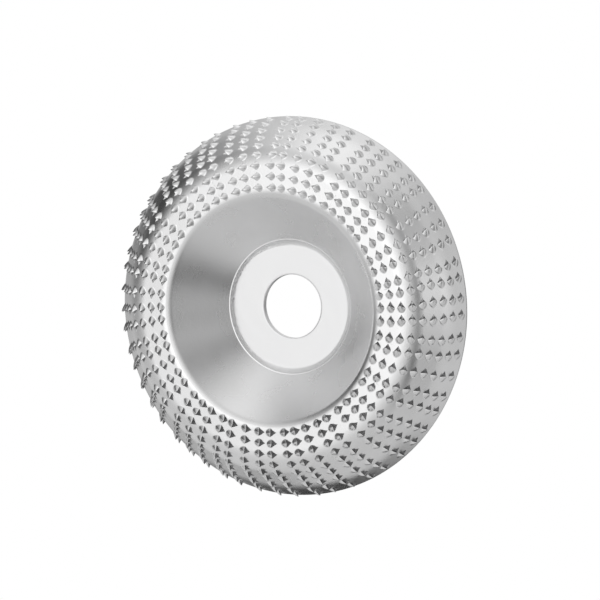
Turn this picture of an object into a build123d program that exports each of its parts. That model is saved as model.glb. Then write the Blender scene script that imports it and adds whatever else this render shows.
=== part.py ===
from build123d import *
import math
import os

os.makedirs("parts", exist_ok=True)

# Angle grinder carving disc, in millimetres. The disc stands upright. Its axis lies along Y, its toothed
# working side faces -Y, and the origin is the centre of the spindle bore.
# The profile is drawn in (radius, depth), where depth is measured forward from the plane of the rear rim.

# Driving dimensions
bore_radius = 8.0
plate_radius = 17.6
plate_thickness = 2.0
sheet = 1.3              # thickness of the pressed sheet
opening_radius = 16.8    # opening of the shell over the hub plate
flange_width = 0.5       # flat foot of the shell around the opening
dish_edge_radius = 28.9  # the dish is a plain cone from the foot to this edge
crown_depth = 14.35      # front of the crown, at the dish's edge
crown_edge_radius = 38.9
crown_fall = 0.4         # how much lower the crown is at its outer edge
knee_radius = 45.5       # where the skirt gets steeper
knee_depth = 6.0
rim_radius = 47.9
rim_setback = 0.7        # rear rim, behind the origin
flange_bend = 1.0        # radii of the profile's bends
dish_edge_bend = 2.2
crown_bend = 8.0
knee_bend = 15.0
edge_round = 0.3

# Teeth, punched up from the sheet: rings from the edge of the dish to the rim
teeth_per_ring = 59
ring_count = 9
first_ring_radius = 30.6
ring_pitch = 2.77        # from ring to ring along the surface
tooth_back = 1.15        # length of the ramp, behind the widest part of the tooth
tooth_front = 0.35       # from there to the foot of the cutting face
tooth_half_width = 0.95
tooth_height = 1.05
tooth_lean = 0.6         # how far the tip leans ahead of the widest part
tooth_tip = 0.10         # size of the tip, as a part of the footprint
tooth_sink = 0.02        # the foot of a tooth goes this far into the sheet

# Seam and weld between the shell and the plate
seam_width = 0.8
weld_size = 1.3

plate_front_depth = rim_setback + plate_thickness / 2
plate_back_depth = rim_setback - plate_thickness / 2
flange_depth = plate_front_depth + sheet
seam_foot_radius = opening_radius - seam_width


def at(radius, depth):
    """A point of the profile, in the XY plane, for a revolution about Y."""
    return (radius, rim_setback - depth)


def spin(face):
    """The solid of revolution of a profile face about the disc's axis."""
    return revolve(face, Axis.Y, 360)


def closed_face(*points):
    """A face with straight sides through the points."""
    return make_face(Polyline(*points, close=True))


def make_front_line():
    """The shell's outer surface, from the opening to the rim."""
    return FilletPolyline(
        at(opening_radius, flange_depth),
        at(opening_radius + flange_width, flange_depth),
        at(dish_edge_radius, crown_depth),
        at(crown_edge_radius, crown_depth - crown_fall),
        at(knee_radius, knee_depth),
        at(rim_radius, 0),
        radius=[flange_bend, dish_edge_bend, crown_bend, knee_bend],
    )


def make_pressed_shell():
    """The pressed sheet: dish, crown and skirt, all of one thickness."""
    section = offset(make_front_line(), amount=sheet, side=Side.LEFT, closed=True)
    shell = spin(make_face(section))
    rim_edges = shell.edges().filter_by(GeomType.CIRCLE).sort_by(Axis.Y)[-2:]
    opening_edge = shell.edges().filter_by(GeomType.CIRCLE).sort_by(SortBy.RADIUS)[:2].sort_by(Axis.Y)[:1]
    return fillet(rim_edges + opening_edge, edge_round)


def make_hub_plate():
    """The flat round plate behind the opening, with the spindle bore. The clamp nut's seat is a face of its own."""
    section = closed_face(
        at(bore_radius, plate_back_depth),
        at(plate_radius, plate_back_depth),
        at(plate_radius, plate_front_depth),
        at(seam_foot_radius, plate_front_depth),
        at(bore_radius, plate_front_depth),
    )
    return revolve(section, Axis.Y, 360, clean=False)


def make_front_seam():
    """The hollow fillet of filler metal between the opening's edge and the plate."""
    height = sheet - edge_round
    return spin(closed_face(
        at(seam_foot_radius, plate_front_depth),
        at(opening_radius, plate_front_depth),
        at(opening_radius, plate_front_depth + height),
        at(opening_radius - 0.44 * seam_width, plate_front_depth + 0.4 * height),
    ))


def make_rear_weld(shell):
    """The weld bead between the plate's outer edge and the back of the dish."""
    bead = spin(closed_face(
        at(plate_radius, plate_front_depth + weld_size),
        at(plate_radius, plate_front_depth - weld_size),
        at(plate_radius + 2 * weld_size, plate_front_depth + 2 * weld_size),
    ))
    return bead - shell


def ring_seats():
    """A (point, normal) of the profile for each ring of teeth, evenly spaced along the shell's surface."""
    line = make_front_line()
    crown_slope = crown_fall / (crown_edge_radius - dish_edge_radius)
    ring_depth = crown_depth - (first_ring_radius - dish_edge_radius) * crown_slope
    first = line.param_at_point(at(first_ring_radius, ring_depth)) * line.length
    seats = []
    for ring in range(ring_count):
        distance = first + ring * ring_pitch
        along = line.tangent_at(distance, position_mode=PositionMode.LENGTH)
        point = line.position_at(distance, position_mode=PositionMode.LENGTH)
        seats.append((point, Vector(along.Y, -along.X)))
    return seats


def row_angle(row, ring):
    """The angle of one tooth: the rows run outwards, a little uneven, as they are punched one at a time."""
    turn = 2 * math.pi * row / teeth_per_ring
    uneven = 0.5 * math.sin(turn + 2.2) + 0.09 * math.sin(2.4 * row) + 0.05 * math.sin(5.3 * row + 1.0)
    drift = 0.04 * ring + 0.05 * math.sin(1.3 * ring + 0.7 * row)
    return 360 / teeth_per_ring * (row + uneven + drift)


def make_tooth():
    """One tooth at the origin, foot in the XY plane: +X is the way it cuts."""
    foot = closed_face(
        (-tooth_back, 0, -tooth_sink),
        (0, -tooth_half_width, -tooth_sink),
        (tooth_front, 0, -tooth_sink),
        (0, tooth_half_width, -tooth_sink),
    )
    tip = Pos(tooth_lean, 0, tooth_height) * scale(foot, by=tooth_tip)
    return loft([foot, tip], ruled=True)


def make_tooth_ring(seat, ring, tooth):
    """All the teeth of one ring, standing on the shell and leaning counter-clockwise seen from the front."""
    point, normal = seat
    teeth = []
    for row in range(teeth_per_ring):
        angle = math.radians(row_angle(row, ring))
        c = math.cos(angle)
        s = math.sin(angle)
        foot = Plane(
            origin=(point.X * c, point.Y, point.X * s),
            x_dir=(-s, 0, c),
            z_dir=(normal.X * c, normal.Y, normal.X * s),
        )
        teeth.append(foot.location * tooth)
    return Compound(children=teeth)


def save(shape, node):
    export_step(shape, f"parts/{node}.step")


pressed_shell = make_pressed_shell()
save(pressed_shell, "pressed_shell")
save(make_hub_plate(), "hub_plate")
save(make_front_seam(), "front_seam")
save(make_rear_weld(pressed_shell), "rear_weld")
single_tooth = make_tooth()
for number, seat in enumerate(ring_seats(), start=1):
    save(make_tooth_ring(seat, number, single_tooth), f"tooth_ring_{number:02d}")
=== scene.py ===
import math

import bpy
import numpy as np
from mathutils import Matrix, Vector


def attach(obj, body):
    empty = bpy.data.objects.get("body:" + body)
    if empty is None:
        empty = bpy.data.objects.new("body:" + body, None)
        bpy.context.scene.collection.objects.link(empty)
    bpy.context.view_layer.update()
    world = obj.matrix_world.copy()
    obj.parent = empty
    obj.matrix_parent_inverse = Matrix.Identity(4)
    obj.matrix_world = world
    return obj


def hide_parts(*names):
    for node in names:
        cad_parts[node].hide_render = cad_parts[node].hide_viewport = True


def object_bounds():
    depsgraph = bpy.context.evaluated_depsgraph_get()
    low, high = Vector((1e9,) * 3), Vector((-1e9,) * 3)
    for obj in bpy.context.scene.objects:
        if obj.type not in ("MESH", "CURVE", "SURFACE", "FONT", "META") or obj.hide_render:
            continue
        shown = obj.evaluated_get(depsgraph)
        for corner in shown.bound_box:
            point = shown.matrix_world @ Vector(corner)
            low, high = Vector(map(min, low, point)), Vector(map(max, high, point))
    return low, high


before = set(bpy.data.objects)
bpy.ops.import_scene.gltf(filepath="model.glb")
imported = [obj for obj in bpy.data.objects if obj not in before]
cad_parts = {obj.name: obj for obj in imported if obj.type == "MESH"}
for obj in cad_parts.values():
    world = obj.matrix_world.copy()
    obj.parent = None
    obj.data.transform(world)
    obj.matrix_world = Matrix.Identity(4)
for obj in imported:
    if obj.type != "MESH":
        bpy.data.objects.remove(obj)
cad_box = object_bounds()

# Angle grinder carving disc. Its profile is worked out in millimetres as (radius, depth). Depth is measured
# forward from the plane of the rear rim. The axis is Y, and the working face looks along -Y.
MM = 0.001

# Profile. The driving sizes are the CAD model's. The foot, the seam's width, the bore's chamfers and some of
# the roundings differ from it.
BORE_RADIUS = 8.0
PLATE_RADIUS = 17.6
PLATE_THICKNESS = 2.0
SHEET = 1.3
OPENING_RADIUS = 16.8
FOOT_WIDTH = 0.28         # flat foot of the dish round its opening
DISH_EDGE_RADIUS = 28.9
CROWN_DEPTH = 14.35
CROWN_EDGE_RADIUS = 38.9
CROWN_FALL = 0.4
KNEE_RADIUS = 45.5
KNEE_DEPTH = 6.0
RIM_RADIUS = 47.9
RIM_SETBACK = 0.7
BENDS = (0.35, 3.2, 8.0, 15.0)    # at the foot of the dish, the dish's edge, the crown and the skirt's knee
EDGE_ROUND = 0.3          # of the plate's outer edge and the rim's inner edge
RIM_ROUND = 0.9           # of the rim's outer edge
OPENING_ROUND = 0.1       # of the opening's front edge
BORE_FRONT_CHAMFER = 0.12
BORE_BACK_CHAMFER = 0.55
SEAM_NARROW = 0.4         # width of the front seam at the left and at the right
SEAM_WIDE = 1.45
SEAM_SMOOTH = 0.006       # height of the seam's grain at the right, and how much is added at the left
SEAM_ROUGH = 0.13
WELD_SIZE = 1.3
WELD_RIPPLES = 70
WELD_BELLY = 0.2          # how far the middle of the bead bulges
RIPPLE_HEIGHT = 0.12
PLATE_FRONT = RIM_SETBACK + PLATE_THICKNESS / 2
PLATE_BACK = RIM_SETBACK - PLATE_THICKNESS / 2
FOOT_DEPTH = PLATE_FRONT + SHEET

# Rows and rings of teeth. Each ring is a toothed strip that lies in a groove of the shell.
ROWS = 59
RINGS = 9
FIRST_RING_RADIUS = 30.6
RING_PITCH = 2.77         # from ring to ring along the surface
STRIP_EDGE = RING_PITCH / 2
BAND_THICKNESS = 0.78

# One tooth: a half cone pushed up behind the cutting edge, and the three-sided pit punched ahead of it
HOOD_LENGTH = 1.3
HOOD_HALF_WIDTH = 1.06
HOOD_HEIGHT = 1.0
HOOD_LEAN = 0.6
HOOD_SQUARENESS = 1.6     # of the hood's outline: 1 is a diamond, 2 an oval
HOOD_FLARE = 0.2          # part of the height that rises evenly from the outline; the rest is domed
FACE_HOLLOW = 0.14        # how far the cutting face is hollowed
PIT_LENGTH = 1.6
PIT_HALF_WIDTH = 0.98
PIT_DEPTH = 0.48
TOOTH_CLEARANCE = 0.15    # between the tip of a pit and the next tooth
SHORTEST_PIT = 0.3        # where two teeth stand close together, as a part of the pit's length

# How much the teeth differ: parts of their height and lean, and degrees of turn
HEIGHT_RANGE = (0.86, 1.0)
LEAN_RANGE = (0.75, 1.15)
YAW_LIMIT = 9
FIRST_RING_SEED = 100

# Mesh density of a toothed strip
HOOD_STEPS = 9            # columns behind the cutting edge, on its face, in the pit and in the gap
FACE_STEPS = 4
PIT_STEPS = 9
GAP_STEPS = 4
PIT_ROWS = 12             # rows across a tooth's pit, and on each side of it
SIDE_ROWS = 4
UNDER_STEPS = 4           # rows on the underside
COLUMN_CROWDING = 1.15    # how much the hood's columns crowd towards its cutting edge
STRAIGHT_WIDTH = 0.75 * HOOD_HALF_WIDTH    # columns run straight this far from the middle of a tooth

# Mesh density of the shell: columns round the disc, and millimetres between its rows
SHELL_COLUMNS = 472
FOOT_SPACING = 0.1
DISH_SPACING = 0.35
GROOVE_SPACING = 0.6
SKIRT_SPACING = 0.3
INSIDE_SPACING = 0.9
FOOT_END = 1.4            # the foot's fine rows end this far from the opening

# Mesh columns round the smaller pieces
HUB_COLUMNS = 256
SEAM_COLUMNS = 400
WELD_COLUMNS = 960


# ---------------------------------------------------------------- profile curves

def rounded_line(corners, radii, step=0.02):
    """Points along a polyline whose inner corners are rounded by arcs of the given radii."""
    corners = [np.array(c, float) for c in corners]
    points = [corners[0]]
    for before, corner, after, radius in zip(corners, corners[1:], corners[2:], radii):
        arrive = (corner - before) / np.linalg.norm(corner - before)
        leave = (after - corner) / np.linalg.norm(after - corner)
        turn = math.acos(float(np.clip(arrive @ leave, -1, 1)))
        tangent = radius * math.tan(turn / 2)
        start = corner - arrive * tangent
        side = math.copysign(1, arrive[0] * leave[1] - arrive[1] * leave[0])
        inward = side * np.array([-arrive[1], arrive[0]])
        centre = start + inward * radius
        spoke = -inward * radius
        for angle in np.linspace(0, turn, max(3, int(radius * turn / step))):
            c = math.cos(side * angle)
            s = math.sin(side * angle)
            points.append(centre + np.array([c * spoke[0] - s * spoke[1], s * spoke[0] + c * spoke[1]]))
    points.append(corners[-1])
    return np.array(points)


class Profile:
    """A profile curve that is read by its length: points and outward normals."""

    def __init__(self, points):
        length = np.concatenate([[0], np.cumsum(np.linalg.norm(np.diff(points, axis=0), axis=1))])
        # points that fall on the one before them are dropped
        keep = np.concatenate([[True], np.diff(length) > 1e-7])
        self.length = length[keep]
        self.points = points[keep]
        along = np.gradient(self.points, self.length, axis=0)
        along /= np.linalg.norm(along, axis=1)[:, None]
        self.normals = np.stack([-along[:, 1], along[:, 0]], -1)

    def point(self, s):
        return np.stack([np.interp(s, self.length, self.points[:, i]) for i in range(2)], -1)

    def normal(self, s):
        n = np.stack([np.interp(s, self.length, self.normals[:, i]) for i in range(2)], -1)
        return n / np.linalg.norm(n, axis=-1)[..., None]


FRONT_CORNERS = [
    (OPENING_RADIUS, FOOT_DEPTH),
    (OPENING_RADIUS + FOOT_WIDTH, FOOT_DEPTH),
    (DISH_EDGE_RADIUS, CROWN_DEPTH),
    (CROWN_EDGE_RADIUS, CROWN_DEPTH - CROWN_FALL),
    (KNEE_RADIUS, KNEE_DEPTH),
    (RIM_RADIUS, 0),
]
front = Profile(rounded_line(FRONT_CORNERS, BENDS))
first_ring = float(np.interp(FIRST_RING_RADIUS, front.points[:, 0], front.length))
band_start = first_ring - STRIP_EDGE
band_end = band_start + RINGS * RING_PITCH


# ---------------------------------------------------------------- mesh helpers

def to_space(radius, depth, angle):
    """Disc coordinates in millimetres to metres. Angles run counter-clockwise seen from the front."""
    return np.stack([radius * np.cos(angle), RIM_SETBACK - depth, radius * np.sin(angle)], -1) * MM


def grid_mesh(name, points, sharp):
    """A closed mesh from a grid of points that wraps both ways. Its rows run round the disc.

    Edges that bend by more than sharp degrees stay sharp."""
    rows, columns = points.shape[:2]
    index = np.arange(rows * columns).reshape(rows, columns)
    below = np.roll(index, -1, axis=0)
    corners = [index, np.roll(index, -1, axis=1), np.roll(below, -1, axis=1), below]
    quads = np.stack(corners, -1).reshape(-1, 4)
    mesh = bpy.data.meshes.new(name)
    mesh.vertices.add(rows * columns)
    mesh.vertices.foreach_set("co", points.reshape(-1))
    mesh.loops.add(quads.size)
    mesh.loops.foreach_set("vertex_index", quads.reshape(-1))
    mesh.polygons.add(len(quads))
    mesh.polygons.foreach_set("loop_start", np.arange(0, quads.size, 4))
    mesh.update(calc_edges=True)
    mesh.validate()
    mesh.polygons.foreach_set("use_smooth", np.ones(len(mesh.polygons), bool))
    mesh.set_sharp_from_angle(angle=math.radians(sharp))
    piece = bpy.data.objects.new(name, mesh)
    bpy.context.scene.collection.objects.link(piece)
    return piece


def revolve_section(name, section, columns, sharp, change=None):
    """A closed ring from a section of (radius, depth) points. change may move its points on the grid."""
    section = np.array(section)
    angle = np.linspace(0, 2 * math.pi, columns, endpoint=False)[None, :]
    radius = np.repeat(section[:, :1], columns, axis=1)
    depth = np.repeat(section[:, 1:], columns, axis=1)
    if change:
        radius, depth = change(radius, depth, angle)
    return grid_mesh(name, to_space(radius, depth, np.broadcast_to(angle, radius.shape)), sharp)


def arc(centre, radius, start, end, steps):
    """Points of an arc in the section, with angles in degrees from outward towards forward."""
    angles = np.radians(np.linspace(start, end, steps + 1))
    return [(centre[0] + radius * math.cos(a), centre[1] + radius * math.sin(a)) for a in angles]


def smooth_step(x):
    x = np.clip(x, 0, 1)
    return x * x * (3 - 2 * x)


# ---------------------------------------------------------------- shell

def line_samples(start, end, spacing):
    """Evenly spaced places along a line, about spacing apart."""
    return np.linspace(start, end, max(2, int(round((end - start) / spacing)) + 1))


def make_shell():
    """The pressed sheet, lowered under the toothed strips so that they lie flush in its surface."""
    end = front.length[-1]
    section = []
    # foot, cone and edge of the dish
    dish = line_samples(FOOT_END, band_start, DISH_SPACING)
    for s in [*line_samples(OPENING_ROUND, FOOT_END, FOOT_SPACING), *dish[1:]]:
        section.append(front.point(s))
    # lowered under the teeth
    for s in line_samples(band_start, band_end, GROOVE_SPACING):
        section.append(front.point(s) - BAND_THICKNESS * front.normal(s))
    # down to the rim, round it and back along the inside
    for s in line_samples(band_end, end - RIM_ROUND, SKIRT_SPACING):
        section.append(front.point(s))
    normal = front.normal(end)
    tangent = np.array([normal[1], -normal[0]])
    outer = front.point(end) - RIM_ROUND * (normal + tangent)
    inner = front.point(end) - (SHEET - EDGE_ROUND) * normal - EDGE_ROUND * tangent
    slope = math.degrees(math.atan2(normal[1], normal[0]))
    section += arc(outer, RIM_ROUND, slope, slope - 90, 9)[1:]
    section += arc(inner, EDGE_ROUND, slope - 90, slope - 180, 5)
    for s in line_samples(0, end - EDGE_ROUND, INSIDE_SPACING)[-2::-1]:
        section.append(front.point(s) - SHEET * front.normal(s))
    # the opening's edge, rounded at the front
    centre = (OPENING_RADIUS + OPENING_ROUND, FOOT_DEPTH - OPENING_ROUND)
    section += arc(centre, OPENING_ROUND, 180, 90, 5)[:-1]
    return revolve_section("shell", section, SHELL_COLUMNS, sharp=40)


# ---------------------------------------------------------------- teeth

def row_angle(row, ring):
    """The angle of a tooth: the rows run outwards, a little uneven, as they are punched one at a time."""
    turn = 2 * math.pi * row / ROWS
    uneven = 0.5 * np.sin(turn + 2.2) + 0.09 * np.sin(2.4 * row) + 0.05 * np.sin(5.3 * row + 1.0)
    drift = 0.04 * ring + 0.05 * np.sin(1.3 * ring + 0.7 * row)
    return 2 * math.pi / ROWS * (row + uneven + drift)


def tooth_columns():
    """A tooth's mesh columns in millimetres ahead of its cutting edge, and how far down its face each is."""
    hood = -HOOD_LENGTH * np.linspace(1, 0, HOOD_STEPS + 1) ** COLUMN_CROWDING
    face = np.zeros(FACE_STEPS)
    pit = PIT_LENGTH * np.linspace(0, 1, PIT_STEPS + 1)[1:]
    face_down = np.arange(1, FACE_STEPS + 1) / FACE_STEPS
    down = np.concatenate([np.zeros(HOOD_STEPS + 1), face_down, np.ones(PIT_STEPS)])
    return np.concatenate([hood, face, pit]), down


def pit_half_width(u):
    """The pit narrows in a straight line to its tip."""
    return PIT_HALF_WIDTH * np.clip(1 - np.maximum(u, 0) / PIT_LENGTH, 0.02, 1)


def tooth_shape(u, v, down, height, lean):
    """How far each point of a tooth moves: ahead along the ring, and out of the surface, in millimetres.

    u is ahead of the cutting edge, v across the ring, and down goes from 0 on the hood to 1 in the pit."""
    back = np.maximum(-u, 0) / HOOD_LENGTH
    side = np.abs(v) / HOOD_HALF_WIDTH
    reach = (back ** HOOD_SQUARENESS + side ** HOOD_SQUARENESS) ** (1 / HOOD_SQUARENESS)
    rise = np.clip(1 - reach, 0, 1)
    hood = height * (HOOD_FLARE * rise ** 1.15 + (1 - HOOD_FLARE) * np.sin(math.pi / 2 * rise))
    half_width = pit_half_width(u)
    across = np.clip(1 - np.abs(v) / half_width, 0, 1)
    pit = -PIT_DEPTH * (half_width / PIT_HALF_WIDTH) ** 0.7 * across ** 0.9 * (u < PIT_LENGTH)
    out = (1 - down) * hood + down * pit
    ahead = lean * (hood / HOOD_HEIGHT) ** 1.3 * (1 - down) ** 2.0
    hollow = -FACE_HOLLOW * np.sin(math.pi * down) * hood / HOOD_HEIGHT
    return ahead + hollow, out


def ring_columns(ring):
    """The angle of every mesh column of a ring, with its place on its tooth."""
    offsets, down = tooth_columns()
    radius = front.point(first_ring + ring * RING_PITCH)[0]
    centre = row_angle(np.arange(ROWS), ring + 1)
    spacing = (np.roll(centre, -1) - centre) % (2 * math.pi) * radius
    # where two teeth stand close together the pit between them is shorter
    room = np.clip((spacing - HOOD_LENGTH - TOOTH_CLEARANCE) / PIT_LENGTH, SHORTEST_PIT, 1)
    reach = np.where(offsets[None, :] > 0, offsets[None, :] * room[:, None], offsets[None, :])
    tooth = centre[:, None] + reach / radius
    gap_start = tooth[:, -1]
    gap_end = np.roll(tooth[:, 0], -1)
    gap_end[-1] += 2 * math.pi
    steps = np.arange(1, GAP_STEPS + 1) / (GAP_STEPS + 1)
    gap = gap_start[:, None] + (gap_end - gap_start)[:, None] * steps[None, :]
    angles = np.concatenate([tooth, gap], axis=1)
    # the mesh rows squeezed into the tip of the pit spread out again in the gap
    u = np.concatenate([offsets, PIT_LENGTH * (1 - steps)])
    solid = np.concatenate([np.ones(len(offsets), bool), np.zeros(GAP_STEPS, bool)])
    down = np.concatenate([down, np.ones(GAP_STEPS)])
    return angles.reshape(-1), np.tile(u, ROWS), np.tile(down, ROWS), np.tile(solid, ROWS)


def strip_rows(u):
    """How far across the ring each point of a strip lies: the rows follow the pit's straight sides."""
    inner = np.linspace(-PIT_HALF_WIDTH, PIT_HALF_WIDTH, PIT_ROWS + 1)
    outer = np.linspace(PIT_HALF_WIDTH, STRIP_EDGE, SIDE_ROWS + 1)[1:]
    row = np.concatenate([-outer[::-1], inner, outer])[:, None]
    half_width = pit_half_width(u)[None, :]
    squeeze = (STRIP_EDGE - half_width) / (STRIP_EDGE - PIT_HALF_WIDTH)
    beside = np.sign(row) * (half_width + (np.abs(row) - PIT_HALF_WIDTH) * squeeze)
    within = row * half_width / PIT_HALF_WIDTH
    return np.where(np.abs(row) <= PIT_HALF_WIDTH + 1e-9, within, beside)


def strip_underside(middle, lower, upper):
    """The smooth underside of a strip, between the columns of its two edges."""
    v = np.linspace(STRIP_EDGE, -STRIP_EDGE, UNDER_STEPS + 1)
    point = front.point(middle + v) - BAND_THICKNESS * front.normal(middle + v)
    mix = v[:, None] / RING_PITCH + 0.5
    angle = lower[None, :] * (1 - mix) + upper[None, :] * mix
    radius = np.broadcast_to(point[:, :1], angle.shape)
    depth = np.broadcast_to(point[:, 1:], angle.shape)
    return to_space(radius, depth, angle)


def tooth_materials(per_tooth, rows):
    """The material of each face of a strip: 0 for the plated sheet, 1 in a pit, darker as painted shade, 2
    on the cutting face, much darker as painted shade.
    """
    column = np.tile(np.arange(per_tooth), ROWS)
    pit_start = HOOD_STEPS + FACE_STEPS
    in_pit = (column >= pit_start) & (column < pit_start + PIT_STEPS)
    on_face = (column >= HOOD_STEPS) & (column < pit_start)
    index = np.arange(rows)
    punched_row = (index >= SIDE_ROWS) & (index < SIDE_ROWS + PIT_ROWS)
    return np.where(punched_row[:, None], in_pit * 1 + on_face * 2, 0)


def make_tooth_ring(ring, columns):
    """One toothed strip: the punched outer surface, two edges and a smooth underside."""
    own, u, down, on_tooth = columns[ring]
    per_tooth = len(own) // ROWS
    # neighbouring strips meet on the same columns
    lower = (own + columns[ring - 1][0]) / 2 if ring > 0 else own
    upper = (own + columns[ring + 1][0]) / 2 if ring < RINGS - 1 else own
    dice = np.random.default_rng(FIRST_RING_SEED + ring)
    height = np.repeat(HOOD_HEIGHT * dice.uniform(*HEIGHT_RANGE, ROWS), per_tooth)[None, :]
    lean = np.repeat(HOOD_LEAN * dice.uniform(*LEAN_RANGE, ROWS), per_tooth)[None, :]
    yaw = np.repeat(np.radians(dice.uniform(-YAW_LIMIT, YAW_LIMIT, ROWS)), per_tooth)[None, :]

    middle = first_ring + ring * RING_PITCH
    v = strip_rows(u)
    to_edge = smooth_step((np.abs(v) - STRAIGHT_WIDTH) / (STRIP_EDGE - STRAIGHT_WIDTH))
    edge_angle = np.where(v < 0, lower[None, :], upper[None, :])
    angle = own[None, :] * (1 - to_edge) + edge_angle * to_edge
    ahead, out = tooth_shape(u[None, :], v, down[None, :], height, lean)
    ahead = np.where(on_tooth[None, :], ahead + v * np.tan(yaw) * (1 - to_edge), 0)
    out = np.where(on_tooth[None, :], out, 0)
    point = front.point(middle + v)
    moved = point + front.normal(middle + v) * out[..., None]
    top = to_space(moved[..., 0], moved[..., 1], angle + ahead / point[..., 0])

    points = np.concatenate([top, strip_underside(middle, lower, upper)])
    piece = grid_mesh(f"tooth_strip_{ring + 1:02d}", points, sharp=38)
    # The pits and cutting faces get darker steels that paint their shade.
    slots = tooth_materials(per_tooth, len(points))
    piece.data.polygons.foreach_set("material_index", slots.astype(np.int32).reshape(-1))
    return piece


# ---------------------------------------------------------------- hub, seam and weld

def make_hub_plate():
    """The flat plate, with a small chamfer in front of its bore and a larger one behind it."""
    face_steps = 28
    bore_steps = 8
    edge = PLATE_RADIUS - EDGE_ROUND
    section = []
    for radius in np.linspace(BORE_RADIUS + BORE_FRONT_CHAMFER, edge, face_steps):
        section.append((radius, PLATE_FRONT))
    section += arc((edge, PLATE_FRONT - EDGE_ROUND), EDGE_ROUND, 90, 0, 4)[1:]
    section += arc((edge, PLATE_BACK + EDGE_ROUND), EDGE_ROUND, 0, -90, 4)
    for radius in np.linspace(edge, BORE_RADIUS + BORE_BACK_CHAMFER, face_steps)[1:]:
        section.append((radius, PLATE_BACK))
    for depth in np.linspace(PLATE_BACK + BORE_BACK_CHAMFER, PLATE_FRONT - BORE_FRONT_CHAMFER, bore_steps):
        section.append((BORE_RADIUS, depth))

    def uneven(radius, depth, angle):
        """Waves of about a hundredth of a millimetre in the front, as in stamped sheet."""
        wave = 0.012 * np.sin(2 * angle + 0.7) * np.sin(radius * 0.45) + 0.006 * np.sin(5 * angle + radius)
        on_front = depth > PLATE_FRONT - 1e-6
        return radius, depth - np.where(on_front, np.abs(wave), 0)

    return revolve_section("hub", section, HUB_COLUMNS, sharp=50, change=uneven)


def make_front_seam():
    """The fillet of filler metal between the opening's edge and the plate: narrow and rough at the left."""
    height = SHEET - OPENING_ROUND
    t = np.linspace(0, 1, 15)
    # a unit fillet: its foot on the plate at 1, its top on the opening's edge at 0, with two hidden sides
    across = np.concatenate([1 - t, [0.0]])
    up = np.concatenate([t ** 2.0, [0.0]])
    section = np.stack([across, up], -1)[::-1]
    dice = np.random.default_rng(7)
    grain = dice.normal(0, 1, (len(section), SEAM_COLUMNS))
    grain = (grain + np.roll(grain, 1, 1) + np.roll(grain, 1, 0)) / 1.7

    def lay(across, up, angle):
        """The unit fillet at its real width and height, with a rough skin."""
        width = SEAM_NARROW + (SEAM_WIDE - SEAM_NARROW) * smooth_step(1.15 + 1.15 * np.cos(angle))
        roughness = SEAM_SMOOTH + SEAM_ROUGH * smooth_step(-np.cos(angle + 0.35) / 0.8)
        bump = np.where((across > 0) & (up > 0) & (up < 1), grain * roughness, 0)
        return OPENING_RADIUS - width * across + 0.4 * bump, PLATE_FRONT + height * up + 0.8 * np.abs(bump)

    return revolve_section("seam", section, SEAM_COLUMNS, sharp=60, change=lay)


def make_rear_weld():
    """The rear weld bead: overlapping ripples between the plate's edge and the back of the dish."""
    face_steps = 12
    wall_steps = 6
    start = np.array([PLATE_RADIUS, PLATE_FRONT - WELD_SIZE])
    aim = np.array([PLATE_RADIUS + 2 * WELD_SIZE, PLATE_FRONT + 2 * WELD_SIZE])
    line = aim - start
    shell_back = Profile(front.points - SHEET * front.normals)
    # where the bead's face meets the back of the dish, in the first third of the shell
    dish = len(shell_back.points) // 3
    past_line = [line[1] * (p[0] - start[0]) - line[0] * (p[1] - start[1]) for p in shell_back.points[:dish]]
    crossing = float(np.interp(0, past_line, shell_back.length[:dish]))
    foot = float(np.interp(PLATE_RADIUS, shell_back.points[:, 0], shell_back.length))
    wall = [shell_back.point(s) for s in np.linspace(crossing, foot, wall_steps + 1)]
    outward = np.array([line[1], -line[0]]) / np.linalg.norm(line)
    face = []
    for t in np.linspace(0, 1, face_steps + 1):
        face.append(start * (1 - t) + wall[0] * t + outward * WELD_BELLY * math.sin(math.pi * t))
    section = np.array(face + wall[1:])[::-1]
    bulge = np.zeros(len(section))
    bulge[-(face_steps + 1):] = np.sin(math.pi * np.linspace(1, 0, face_steps + 1))

    def ripple(radius, depth, angle):
        """Each ripple of the bead is steep at one end and fades out over the one before it."""
        phase = (angle * WELD_RIPPLES / (2 * math.pi) + 0.35 * bulge[:, None]) % 1.0
        lift = RIPPLE_HEIGHT * (1 - phase) ** 1.5 + 0.04 * np.sin(angle * 7)
        return radius + 0.6 * lift * bulge[:, None], depth - 0.7 * lift * bulge[:, None]

    return revolve_section("weld", section, WELD_COLUMNS, sharp=60, change=ripple)


# ---------------------------------------------------------------- materials

# Features of the steel in a metre, and depths of its bumps in metres
CLOUD_SCALE = 90.0
STREAK_SCALE = 2600.0
GRAIN_SCALE = 1700.0
STREAK_SQUEEZE = (1.0, 0.12, 1.0)    # draws the streaks out along the axis
STREAK_DEPTH = 0.02 * MM
GRAIN_DEPTH = 0.04 * MM


def new_material(name):
    material = bpy.data.materials.new(name)
    material.use_nodes = True
    return material, material.node_tree.nodes, material.node_tree.links


def add_noise(nodes, links, vector, scale, detail):
    """A noise texture on the given coordinates."""
    noise = nodes.new("ShaderNodeTexNoise")
    noise.inputs["Scale"].default_value = scale
    noise.inputs["Detail"].default_value = detail
    links.new(vector, noise.inputs["Vector"])
    return noise.outputs["Fac"]


def add_bump(nodes, links, height, strength, distance):
    """A bump of the surface that follows a noise."""
    bump = nodes.new("ShaderNodeBump")
    bump.inputs["Strength"].default_value = strength
    bump.inputs["Distance"].default_value = distance
    links.new(height, bump.inputs["Height"])
    return bump


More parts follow.
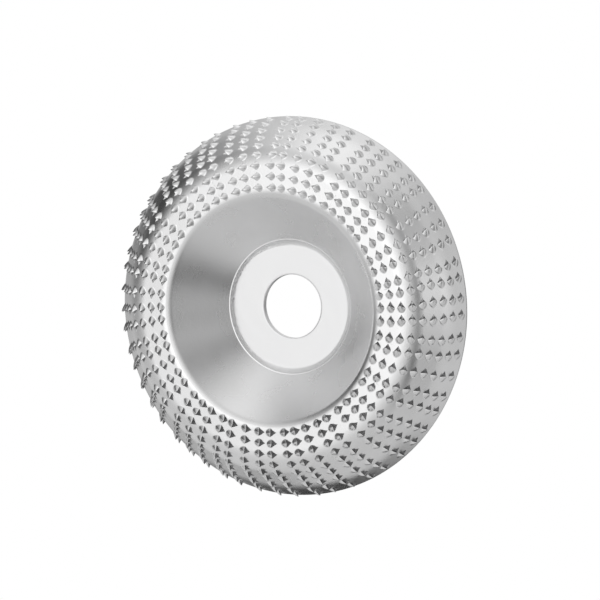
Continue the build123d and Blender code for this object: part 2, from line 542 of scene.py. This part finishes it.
def steel(name, tone, spread, roughness, rough_spread, streak, grain):
    """Plated steel: fine streaks along the axis, a finer grain, and a cloudy variation of tone and gloss."""
    material, nodes, links = new_material(name)
    shader = nodes["Principled BSDF"]
    shader.inputs["Metallic"].default_value = 1.0
    place = nodes.new("ShaderNodeTexCoord").outputs["Object"]

    clouds = add_noise(nodes, links, place, CLOUD_SCALE, 3.0)
    ramp = nodes.new("ShaderNodeValToRGB")
    ramp.color_ramp.elements[0].position = 0.3
    ramp.color_ramp.elements[1].position = 0.7
    ramp.color_ramp.elements[0].color = (tone - spread, tone - spread, tone - spread, 1)
    ramp.color_ramp.elements[1].color = (tone, tone, tone + 0.004, 1)
    links.new(clouds, ramp.inputs["Fac"])
    links.new(ramp.outputs["Color"], shader.inputs["Base Color"])

    gloss = nodes.new("ShaderNodeMapRange")
    gloss.inputs["To Min"].default_value = roughness - rough_spread
    gloss.inputs["To Max"].default_value = roughness + rough_spread
    links.new(clouds, gloss.inputs["Value"])
    links.new(gloss.outputs["Result"], shader.inputs["Roughness"])

    stretch = nodes.new("ShaderNodeMapping")
    stretch.inputs["Scale"].default_value = STREAK_SQUEEZE
    links.new(place, stretch.inputs["Vector"])
    streaks = add_noise(nodes, links, stretch.outputs["Vector"], STREAK_SCALE, 2.0)
    streak_bump = add_bump(nodes, links, streaks, streak, STREAK_DEPTH)
    fine = add_noise(nodes, links, place, GRAIN_SCALE, 4.0)
    grain_bump = add_bump(nodes, links, fine, grain, GRAIN_DEPTH)
    links.new(streak_bump.outputs["Normal"], grain_bump.inputs["Normal"])
    links.new(grain_bump.outputs["Normal"], shader.inputs["Normal"])
    return material


PLATED_SHEET = {
    "tone": 0.81, "spread": 0.05, "roughness": 0.28, "rough_spread": 0.05, "streak": 0.3, "grain": 0.35,
}
shell_steel = steel("plated_shell_steel", **PLATED_SHEET)
tooth_steel = steel("plated_tooth_steel", **PLATED_SHEET)
# The pits' darker tone is painted shade of the punched hollow; the steel there is the same as on the sheet.
pit_painted_shade_steel = steel(
    "pit_painted_shade_steel", tone=0.74, spread=0.10, roughness=0.28, rough_spread=0.05, streak=0.2, grain=0.3)
# The cutting face's dark tone is painted shade in the hollow under the hood's lip.
face_painted_shade_steel = steel(
    "face_painted_shade_steel", tone=0.34, spread=0.10, roughness=0.42, rough_spread=0.06, streak=0.2, grain=0.5)
hub_steel = steel(
    "bright_hub_steel", tone=0.86, spread=0.02, roughness=0.42, rough_spread=0.05, streak=0.1, grain=0.15)
seam_metal = steel(
    "filler_metal", tone=0.90, spread=0.12, roughness=0.42, rough_spread=0.08, streak=0.3, grain=0.5)


def finish_piece(piece, materials, node):
    """The piece gets its materials, is attached to the root body, and stands for a CAD node, which is
    hidden.
    """
    for material in materials:
        piece.data.materials.append(material)
    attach(piece, "root")
    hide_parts(node)


finish_piece(make_shell(), [shell_steel], "pressed_shell")
finish_piece(make_hub_plate(), [hub_steel], "hub_plate")
finish_piece(make_front_seam(), [seam_metal], "front_seam")
finish_piece(make_rear_weld(), [seam_metal], "rear_weld")
all_columns = [ring_columns(ring) for ring in range(RINGS)]
strip_materials = [tooth_steel, pit_painted_shade_steel, face_painted_shade_steel]
for ring in range(RINGS):
    strip = make_tooth_ring(ring, all_columns)
    finish_piece(strip, strip_materials, f"tooth_ring_{ring + 1:02d}")


# ---------------------------------------------------------------- floor, light and camera

FLOOR_DROP = 0.55         # metres below the disc, so that the lower lights reach it
FLOOR_RADIUS = 0.25
FLOOR_CORNERS = 96


def make_floor():
    """A plain pale round table top below the disc."""
    mesh = bpy.data.meshes.new("floor")
    low = float(cad_box[0][2]) - FLOOR_DROP
    turns = [2 * math.pi * i / FLOOR_CORNERS for i in range(FLOOR_CORNERS)]
    ring = [(FLOOR_RADIUS * math.cos(turn), FLOOR_RADIUS * math.sin(turn), low) for turn in turns]
    mesh.from_pydata(ring, [], [tuple(range(FLOOR_CORNERS))])
    floor = bpy.data.objects.new("floor", mesh)
    bpy.context.scene.collection.objects.link(floor)
    material, nodes, _ = new_material("pale_floor")
    nodes["Principled BSDF"].inputs["Base Color"].default_value = (0.9, 0.9, 0.9, 1)
    nodes["Principled BSDF"].inputs["Roughness"].default_value = 0.8
    mesh.materials.append(material)


def direction(azimuth, elevation):
    """A direction from the disc: azimuth 0 is straight ahead of its working face, 90 is to the right."""
    a = math.radians(azimuth)
    e = math.radians(elevation)
    return (math.sin(a) * math.cos(e), -math.cos(a) * math.cos(e), math.sin(e))


# Soft boxes (above 0) and dark gaps (below 0) of the studio: azimuth, elevation, spread in degrees, strength
STUDIO_BASE = 0.66
STUDIO_DARKEST = 0.03
STUDIO = [
    (-11, 6, 28, 0.86),
    (0, 88, 32, 0.24),
    (-20, 86, 16, 0.28),
    (-108, -40, 26, 0.12),
    (-168, 64, 22, 0.18),
    (52, -28, 17, -0.60),
    (52, 5, 13, -0.50),
    (54, 38, 17, -0.42),
    (80, 8, 14, 0.40),
    (125, 42, 17, -0.14),
    (-120, 13, 16, -0.52),
    (-100, 28, 20, -0.40),
    (-84, 8, 19, -0.44),
    (-58, 10, 19, -0.44),
    (-74, 42, 20, -0.28),
    (-156, -38, 26, -0.82),
    (152, -4, 20, -0.58),
    (172, -70, 22, -0.28),
]


def add_math(nodes, links, operation, first, second, third=0.0):
    """A math node whose inputs are numbers or the outputs of other nodes."""
    node = nodes.new("ShaderNodeMath")
    node.operation = operation
    for socket, value in zip(node.inputs, (first, second, third)):
        if isinstance(value, bpy.types.NodeSocket):
            links.new(value, socket)
        else:
            socket.default_value = value
    return node.outputs["Value"]


def studio_level(nodes, links):
    """The light from each direction: a base, and for each lobe strength * exp(sharpness * (cosine - 1))."""
    place = nodes.new("ShaderNodeTexCoord")
    level = STUDIO_BASE
    for azimuth, elevation, spread, strength in STUDIO:
        cosine = nodes.new("ShaderNodeVectorMath")
        cosine.operation = "DOT_PRODUCT"
        cosine.inputs[1].default_value = direction(azimuth, elevation)
        links.new(place.outputs["Generated"], cosine.inputs[0])
        sharpness = 1 / (1 - math.cos(math.radians(spread)))
        power = add_math(nodes, links, "MULTIPLY_ADD", cosine.outputs["Value"], sharpness, -sharpness)
        lobe = add_math(nodes, links, "EXPONENT", power, 0.0)
        level = add_math(nodes, links, "MULTIPLY_ADD", lobe, strength, level)
    return add_math(nodes, links, "MAXIMUM", level, STUDIO_DARKEST)


def make_world():
    """Soft studio light: a pale surround with bright boxes and darker gaps. The camera sees plain white."""
    world = bpy.data.worlds.new("studio")
    world.use_nodes = True
    bpy.context.scene.world = world
    nodes = world.node_tree.nodes
    links = world.node_tree.links
    nodes.clear()
    studio = nodes.new("ShaderNodeBackground")
    links.new(studio_level(nodes, links), studio.inputs["Strength"])
    backdrop = nodes.new("ShaderNodeBackground")
    backdrop.inputs["Strength"].default_value = 1.0
    for background in (studio, backdrop):
        background.inputs["Color"].default_value = (1, 1, 1, 1)
    seen = nodes.new("ShaderNodeLightPath")
    mix = nodes.new("ShaderNodeMixShader")
    links.new(seen.outputs["Is Camera Ray"], mix.inputs["Fac"])
    links.new(studio.outputs["Background"], mix.inputs[1])
    links.new(backdrop.outputs["Background"], mix.inputs[2])
    output = nodes.new("ShaderNodeOutputWorld")
    links.new(mix.outputs["Shader"], output.inputs["Surface"])


CAMERA_AZIMUTH = 26.5
CAMERA_ELEVATION = 5.0
CAMERA_DISTANCE = 1.4
FRAME_WIDTH = 0.1504      # metres across the picture at the disc
AIM_RIGHT = 0.0015        # the bore's centre is this far left of and below the picture's centre
AIM_UP = 0.0015
CLIP_END = 20.0


def make_camera():
    """A long lens that looks at the working face from its right and slightly from above."""
    camera_data = bpy.data.cameras.new("camera")
    camera = bpy.data.objects.new("camera", camera_data)
    bpy.context.scene.collection.objects.link(camera)
    toward = Vector(direction(CAMERA_AZIMUTH, CAMERA_ELEVATION))
    turn = math.radians(CAMERA_AZIMUTH)
    right = Vector((math.cos(turn), math.sin(turn), 0))
    up = toward.cross(right)
    target = right * AIM_RIGHT + up * AIM_UP
    camera.location = target + toward * CAMERA_DISTANCE
    camera.rotation_euler = (-toward).to_track_quat("-Z", "Y").to_euler()
    camera_data.sensor_width = 36.0
    camera_data.lens = camera_data.sensor_width * CAMERA_DISTANCE / FRAME_WIDTH
    camera_data.clip_end = CLIP_END
    bpy.context.scene.camera = camera


make_floor()
make_world()
make_camera()
bpy.context.scene.view_settings.view_transform = "Standard"
